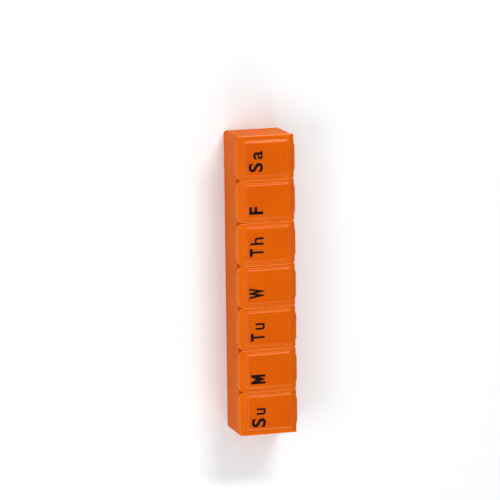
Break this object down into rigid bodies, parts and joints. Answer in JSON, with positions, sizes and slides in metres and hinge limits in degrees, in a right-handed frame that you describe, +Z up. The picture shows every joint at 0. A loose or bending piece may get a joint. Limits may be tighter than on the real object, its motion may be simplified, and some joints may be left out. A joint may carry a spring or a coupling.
{
  "type": "weekly pill organizer",
  "caption": "Long narrow pill organizer of translucent orange plastic, with a row of compartments, each under its own hinged lid with a raised panel and a thumb tab.",
  "frame": {"origin": "middle of the flat underside of the tray", "axes": "+X along the row towards the Saturday end, +Y towards the hinges, +Z up through the lids"},
  "size_m": [0.153, 0.0311, 0.024],
  "materials": {
    "tray_plastic": "translucent orange polypropylene, satin moulded surface",
    "lid_plastic": "translucent orange polypropylene, satin moulded surface",
    "web_plastic": "thin translucent orange polypropylene, paler where it folds"
  },
  "bodies": {
    "tray": {"tray": "tray_plastic", "hinge_su": "web_plastic", "hinge_m": "web_plastic", "hinge_tu": "web_plastic", "hinge_w": "web_plastic", "hinge_th": "web_plastic", "hinge_f": "web_plastic", "hinge_sa": "web_plastic"},
    "lid_su": {"lid_su": "lid_plastic"},
    "lid_m": {"lid_m": "lid_plastic"},
    "lid_tu": {"lid_tu": "lid_plastic"},
    "lid_w": {"lid_w": "lid_plastic"},
    "lid_th": {"lid_th": "lid_plastic"},
    "lid_f": {"lid_f": "lid_plastic"},
    "lid_sa": {"lid_sa": "lid_plastic"}
  },
  "joints": [
    {"name": "lid_su_hinge", "type": "hinge", "parent": "tray", "child": "lid_su", "pos_m": [-0.0648, 0.01549, 0.0216], "axis": [-1, 0, 0], "range_deg": [0, 180], "deforming": ["hinge_su"]},
    {"name": "lid_m_hinge", "type": "hinge", "parent": "tray", "child": "lid_m", "pos_m": [-0.0432, 0.01549, 0.0216], "axis": [-1, 0, 0], "range_deg": [0, 180], "deforming": ["hinge_m"]},
    {"name": "lid_tu_hinge", "type": "hinge", "parent": "tray", "child": "lid_tu", "pos_m": [-0.0216, 0.01549, 0.0216], "axis": [-1, 0, 0], "range_deg": [0, 180], "deforming": ["hinge_tu"]},
    {"name": "lid_w_hinge", "type": "hinge", "parent": "tray", "child": "lid_w", "pos_m": [0, 0.01549, 0.0216], "axis": [-1, 0, 0], "range_deg": [0, 180], "deforming": ["hinge_w"]},
    {"name": "lid_th_hinge", "type": "hinge", "parent": "tray", "child": "lid_th", "pos_m": [0.0216, 0.01549, 0.0216], "axis": [-1, 0, 0], "range_deg": [0, 180], "deforming": ["hinge_th"]},
    {"name": "lid_f_hinge", "type": "hinge", "parent": "tray", "child": "lid_f", "pos_m": [0.0432, 0.01549, 0.0216], "axis": [-1, 0, 0], "range_deg": [0, 180], "deforming": ["hinge_f"]},
    {"name": "lid_sa_hinge", "type": "hinge", "parent": "tray", "child": "lid_sa", "pos_m": [0.0648, 0.01549, 0.0216], "axis": [-1, 0, 0], "range_deg": [0, 180], "deforming": ["hinge_sa"]}
  ]
}
